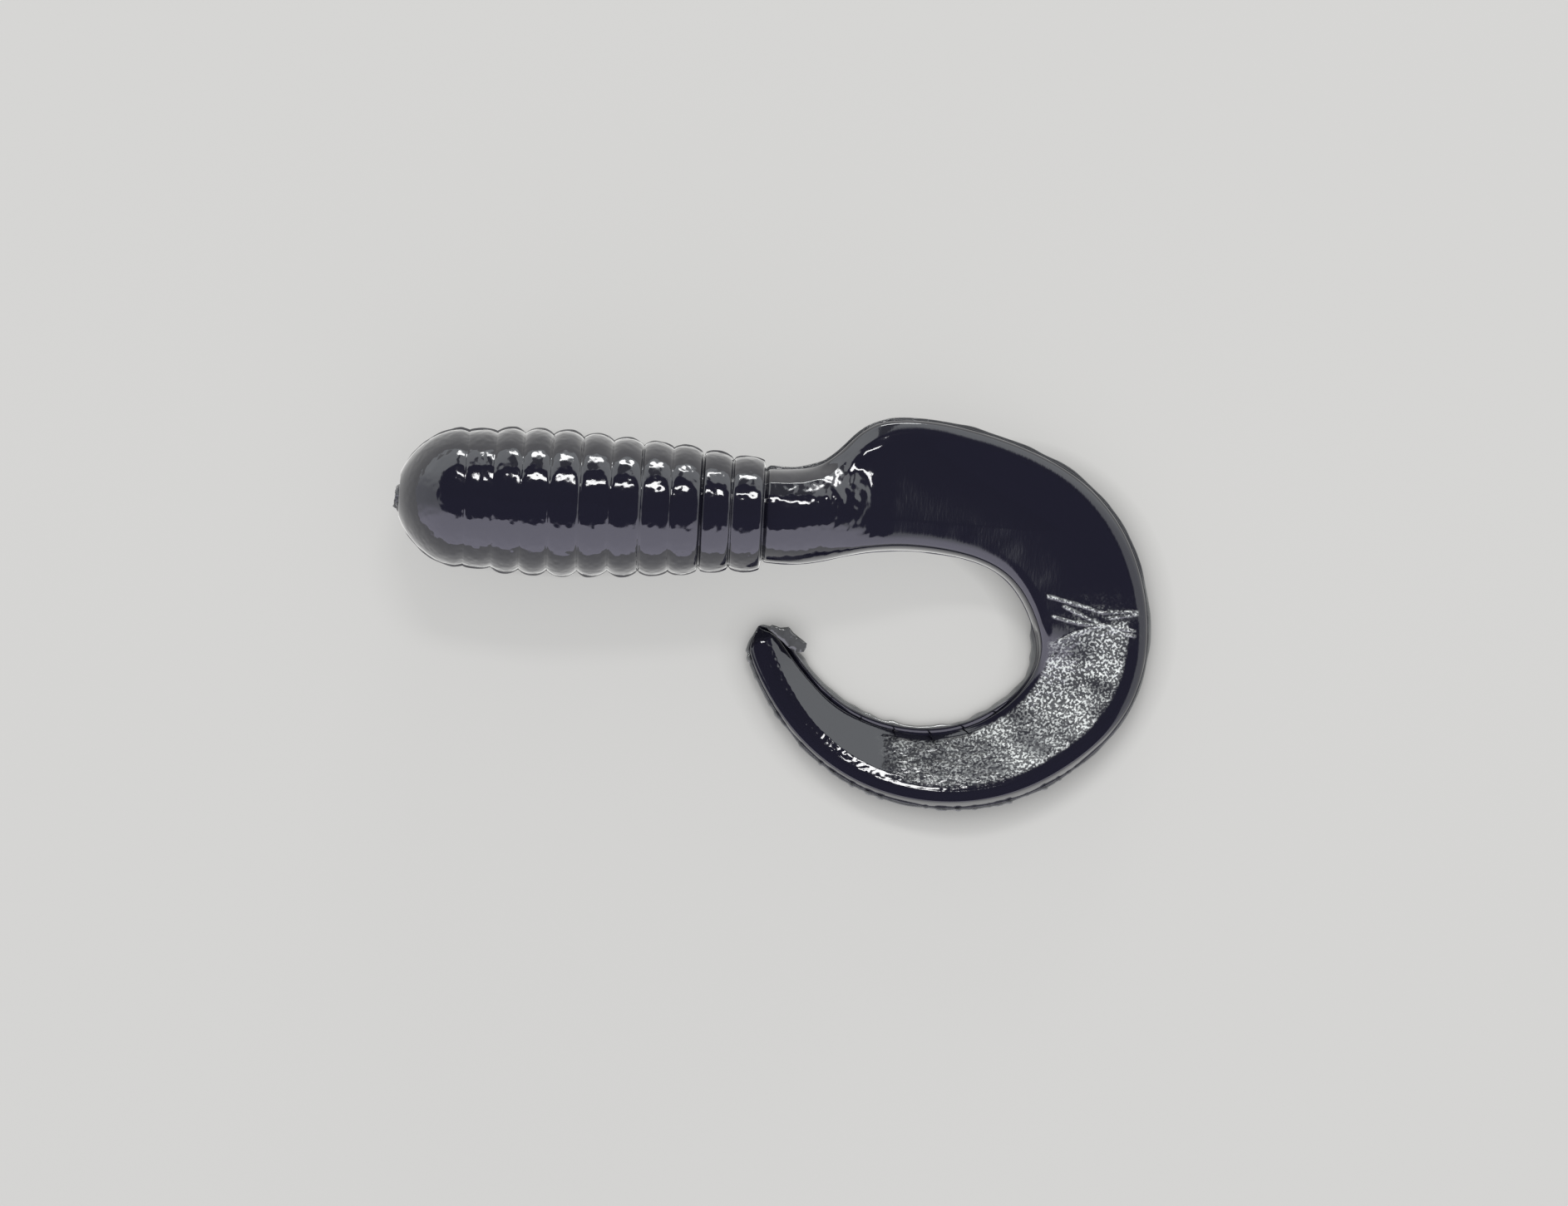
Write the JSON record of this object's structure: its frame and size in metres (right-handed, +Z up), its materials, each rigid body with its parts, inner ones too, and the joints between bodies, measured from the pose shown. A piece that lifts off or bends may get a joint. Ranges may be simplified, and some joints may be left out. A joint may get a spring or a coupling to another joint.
{
  "type": "curly-tail soft plastic grub",
  "caption": "Soft plastic fishing grub: short ribbed body with a domed nose, round neck and a flat sickle tail curled on itself; body and tail bend.",
  "frame": {"origin": "on the table, under the middle of the lure's outline as it lies on its side", "axes": "+X along the body from nose to tail, +Z up from the table, +Y towards the tail's outer bend at the shoulder"},
  "size_m": [0.0512, 0.026, 0.0098],
  "materials": {
    "plastisol": "glossy black soft vinyl"
  },
  "bodies": {
    "head": {"gate_stub": "plastisol", "nose_dome": "plastisol", "rib_01": "plastisol"},
    "trunk_1": {"rib_02": "plastisol", "rib_03": "plastisol"},
    "trunk_2": {"rib_04": "plastisol", "rib_05": "plastisol"},
    "trunk_3": {"rib_06": "plastisol", "rib_07": "plastisol"},
    "trunk_4": {"rib_08": "plastisol", "rib_09": "plastisol"},
    "trunk_5": {"rib_10": "plastisol", "neck": "plastisol"},
    "shoulder": {"tail_shoulder": "plastisol"},
    "blade_01": {"tail_blade_01": "plastisol"},
    "blade_02": {"tail_blade_02": "plastisol"},
    "blade_03": {"tail_blade_03": "plastisol"},
    "blade_04": {"tail_blade_04": "plastisol"},
    "blade_05": {"tail_blade_05": "plastisol"},
    "blade_06": {"tail_blade_06": "plastisol"},
    "blade_07": {"tail_blade_07": "plastisol"},
    "blade_08": {"tail_blade_08": "plastisol"},
    "blade_09": {"tail_blade_09": "plastisol"},
    "blade_10": {"tail_blade_10": "plastisol"},
    "blade_11": {"tail_blade_11": "plastisol"},
    "blade_12": {"tail_blade_12": "plastisol"},
    "blade_13": {"tail_blade_13": "plastisol"},
    "blade_14": {"tail_blade_14": "plastisol"},
    "blade_15": {"tail_blade_15": "plastisol"},
    "tip": {"tail_tip": "plastisol", "tip_flash": "plastisol"}
  },
  "joints": [
    {"name": "body_arch_1", "type": "hinge", "parent": "head", "child": "trunk_1", "pos_m": [-0.01904, 0.00601, 0.0049], "axis": [0, 0, 1], "range_deg": [-8, 8], "stiffness_Nm_per_rad": 0.004},
    {"name": "body_sway_1", "type": "hinge", "parent": "trunk_1", "child": "trunk_2", "pos_m": [-0.01524, 0.00601, 0.0049], "axis": [0, 1, 0], "range_deg": [-8, 8], "stiffness_Nm_per_rad": 0.004},
    {"name": "body_arch_2", "type": "hinge", "parent": "trunk_2", "child": "trunk_3", "pos_m": [-0.01116, 0.00601, 0.0049], "axis": [0, 0, 1], "range_deg": [-8, 8], "stiffness_Nm_per_rad": 0.004},
    {"name": "body_sway_2", "type": "hinge", "parent": "trunk_3", "child": "trunk_4", "pos_m": [-0.00709, 0.00601, 0.0049], "axis": [0, 1, 0], "range_deg": [-8, 8], "stiffness_Nm_per_rad": 0.004},
    {"name": "body_arch_3", "type": "hinge", "parent": "trunk_4", "child": "trunk_5", "pos_m": [-0.00303, 0.00601, 0.0049], "axis": [0, 0, 1], "range_deg": [-8, 8], "stiffness_Nm_per_rad": 0.004},
    {"name": "tail_wag_1", "type": "hinge", "parent": "trunk_5", "child": "shoulder", "pos_m": [0.00275, 0.00636, 0.00481], "axis": [0.0837, 0.9965, 0.0081], "range_deg": [-6, 6], "stiffness_Nm_per_rad": 0.001},
    {"name": "tail_wag_2", "type": "hinge", "parent": "shoulder", "child": "blade_01", "pos_m": [0.00764, 0.00847, 0.00412], "axis": [-0.1161, 0.9929, 0.0272], "range_deg": [-12, 12], "stiffness_Nm_per_rad": 0.001},
    {"name": "curl_open_1", "type": "hinge", "parent": "blade_01", "child": "blade_02", "pos_m": [0.01089, 0.01287, 0.00363], "axis": [0.1985, -0.0295, 0.9797], "range_deg": [-2, 16], "stiffness_Nm_per_rad": 0.001},
    {"name": "curl_open_2", "type": "hinge", "parent": "blade_02", "child": "blade_03", "pos_m": [0.01498, 0.01207, 0.00296], "axis": [0.1971, -0.0772, 0.9774], "range_deg": [-2, 16], "stiffness_Nm_per_rad": 0.001},
    {"name": "tail_wag_3", "type": "hinge", "parent": "blade_03", "child": "blade_04", "pos_m": [0.01681, 0.00689, 0.00219], "axis": [0.4916, 0.8702, 0.0326], "range_deg": [-15, 15], "stiffness_Nm_per_rad": 0.001},
    {"name": "curl_open_3", "type": "hinge", "parent": "blade_04", "child": "blade_05", "pos_m": [0.02225, 0.00806, 0.00174], "axis": [0.0986, -0.1528, 0.9833], "range_deg": [-2, 16], "stiffness_Nm_per_rad": 0.001},
    {"name": "curl_open_4", "type": "hinge", "parent": "blade_05", "child": "blade_06", "pos_m": [0.02447, 0.00456, 0.00127], "axis": [0.0198, -0.1205, 0.9925], "range_deg": [-2, 16], "stiffness_Nm_per_rad": 0.0008},
    {"name": "tail_wag_4", "type": "hinge", "parent": "blade_06", "child": "blade_07", "pos_m": [0.02184, -0.00072, 0.00083], "axis": [0.9517, 0.3007, 0.0625], "range_deg": [-15, 15], "stiffness_Nm_per_rad": 0.0006},
    {"name": "curl_open_5", "type": "hinge", "parent": "blade_07", "child": "blade_08", "pos_m": [0.02527, -0.00385, 0.0014], "axis": [-0.1179, 0.1258, 0.985], "range_deg": [-2, 16], "stiffness_Nm_per_rad": 0.0005},
    {"name": "curl_open_6", "type": "hinge", "parent": "blade_08", "child": "blade_09", "pos_m": [0.02342, -0.0075, 0.00191], "axis": [-0.1387, 0.2098, 0.9679], "range_deg": [-2, 16], "stiffness_Nm_per_rad": 0.0004},
    {"name": "tip_flap_1", "type": "hinge", "parent": "blade_09", "child": "blade_10", "pos_m": [0.01737, -0.00863, 0.00133], "axis": [0.8539, -0.4628, 0.2382], "range_deg": [-18, 18], "stiffness_Nm_per_rad": 0.0003},
    {"name": "curl_open_7", "type": "hinge", "parent": "blade_10", "child": "blade_11", "pos_m": [0.0168, -0.01226, 0.00218], "axis": [-0.0995, 0.2634, 0.9595], "range_deg": [-2, 16], "stiffness_Nm_per_rad": 0.0002},
    {"name": "curl_open_8", "type": "hinge", "parent": "blade_11", "child": "blade_12", "pos_m": [0.01277, -0.01299, 0.002], "axis": [-0.0334, 0.2763, 0.9605], "range_deg": [-2, 16], "stiffness_Nm_per_rad": 0.0001},
    {"name": "tip_flap_2", "type": "hinge", "parent": "blade_12", "child": "blade_13", "pos_m": [0.00814, -0.01002, 0.0011], "axis": [0.2188, -0.9415, 0.2562], "range_deg": [-18, 18], "stiffness_Nm_per_rad": 0.00003},
    {"name": "curl_open_9", "type": "hinge", "parent": "blade_13", "child": "blade_14", "pos_m": [0.00495, -0.01103, 0.00155], "axis": [0.095, 0.2405, 0.966], "range_deg": [-2, 16], "stiffness_Nm_per_rad": 0.00003},
    {"name": "curl_open_10", "type": "hinge", "parent": "blade_14", "child": "blade_15", "pos_m": [0.00182, -0.00845, 0.00133], "axis": [0.164, 0.1889, 0.9682], "range_deg": [-2, 16], "stiffness_Nm_per_rad": 0.000008},
    {"name": "tip_flap_3", "type": "hinge", "parent": "blade_15", "child": "tip", "pos_m": [0.00071, -0.0043, 0.0008], "axis": [-0.761, -0.6079, 0.2264], "range_deg": [-18, 18], "stiffness_Nm_per_rad": 0.0000008}
  ],
  "couplings": [
    {"joint": "body_arch_2", "follows": "body_arch_1", "ratio": 1},
    {"joint": "body_sway_2", "follows": "body_sway_1", "ratio": 1},
    {"joint": "body_arch_3", "follows": "body_arch_1", "ratio": 1},
    {"joint": "tail_wag_2", "follows": "tail_wag_1", "ratio": 2},
    {"joint": "curl_open_2", "follows": "curl_open_1", "ratio": 1},
    {"joint": "tail_wag_3", "follows": "tail_wag_1", "ratio": 2.5},
    {"joint": "curl_open_3", "follows": "curl_open_1", "ratio": 1},
    {"joint": "curl_open_4", "follows": "curl_open_1", "ratio": 1},
    {"joint": "tail_wag_4", "follows": "tail_wag_1", "ratio": 2.5},
    {"joint": "curl_open_5", "follows": "curl_open_1", "ratio": 1},
    {"joint": "curl_open_6", "follows": "curl_open_1", "ratio": 1},
    {"joint": "curl_open_7", "follows": "curl_open_1", "ratio": 1},
    {"joint": "curl_open_8", "follows": "curl_open_1", "ratio": 1},
    {"joint": "tip_flap_2", "follows": "tip_flap_1", "ratio": 1},
    {"joint": "curl_open_9", "follows": "curl_open_1", "ratio": 1},
    {"joint": "curl_open_10", "follows": "curl_open_1", "ratio": 1},
    {"joint": "tip_flap_3", "follows": "tip_flap_1", "ratio": 1}
  ]
}
